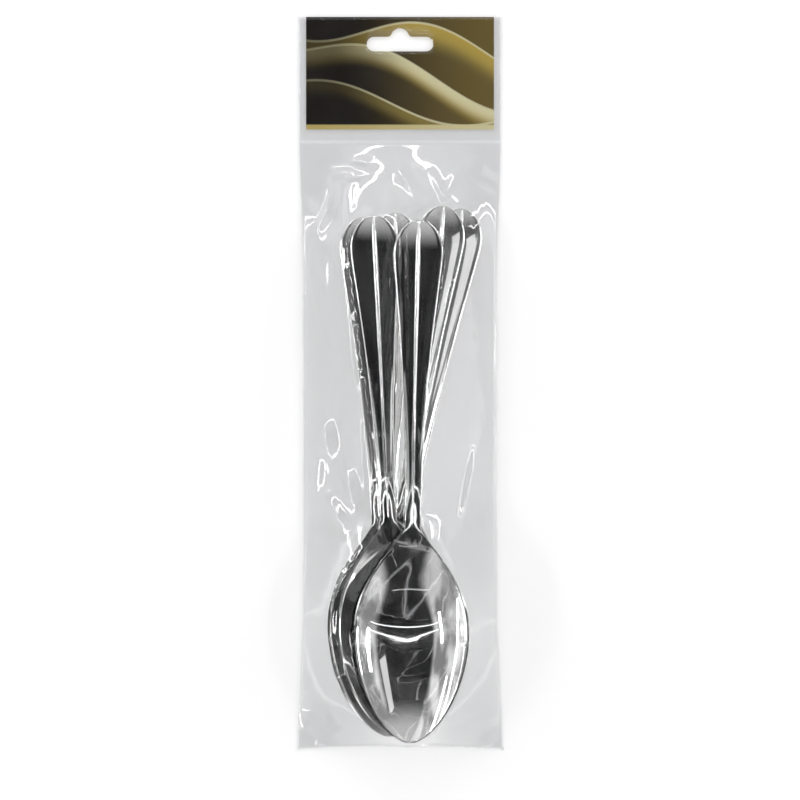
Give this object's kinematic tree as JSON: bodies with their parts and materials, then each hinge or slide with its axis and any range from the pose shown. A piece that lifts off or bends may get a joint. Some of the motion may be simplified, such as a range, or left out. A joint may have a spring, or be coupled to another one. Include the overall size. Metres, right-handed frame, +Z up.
{
  "type": "plastic cutlery pack",
  "caption": "Clear header bag of film with nested metallised plastic tablespoons inside, a printed card in its header pocket and a punched hang slot, lying on its back.",
  "frame": {"origin": "middle of the pack's footprint, on the surface it lies on", "axes": "+X across the bag, +Y along the bag towards the printed header, +Z up, from the back film to the front film"},
  "size_m": [0.0754, 0.267, 0.0261],
  "materials": {
    "clear_film": "clear glossy film",
    "printed_card": "printed card, satin varnish",
    "metallised_plastic": "vacuum metallised plastic, mirror gloss"
  },
  "bodies": {
    "root": {"film_bag": "clear_film", "header_card": "printed_card", "spoon_1": "metallised_plastic", "spoon_2": "metallised_plastic", "spoon_3": "metallised_plastic", "spoon_4": "metallised_plastic", "spoon_5": "metallised_plastic", "spoon_6": "metallised_plastic"}
  },
  "joints": []
}
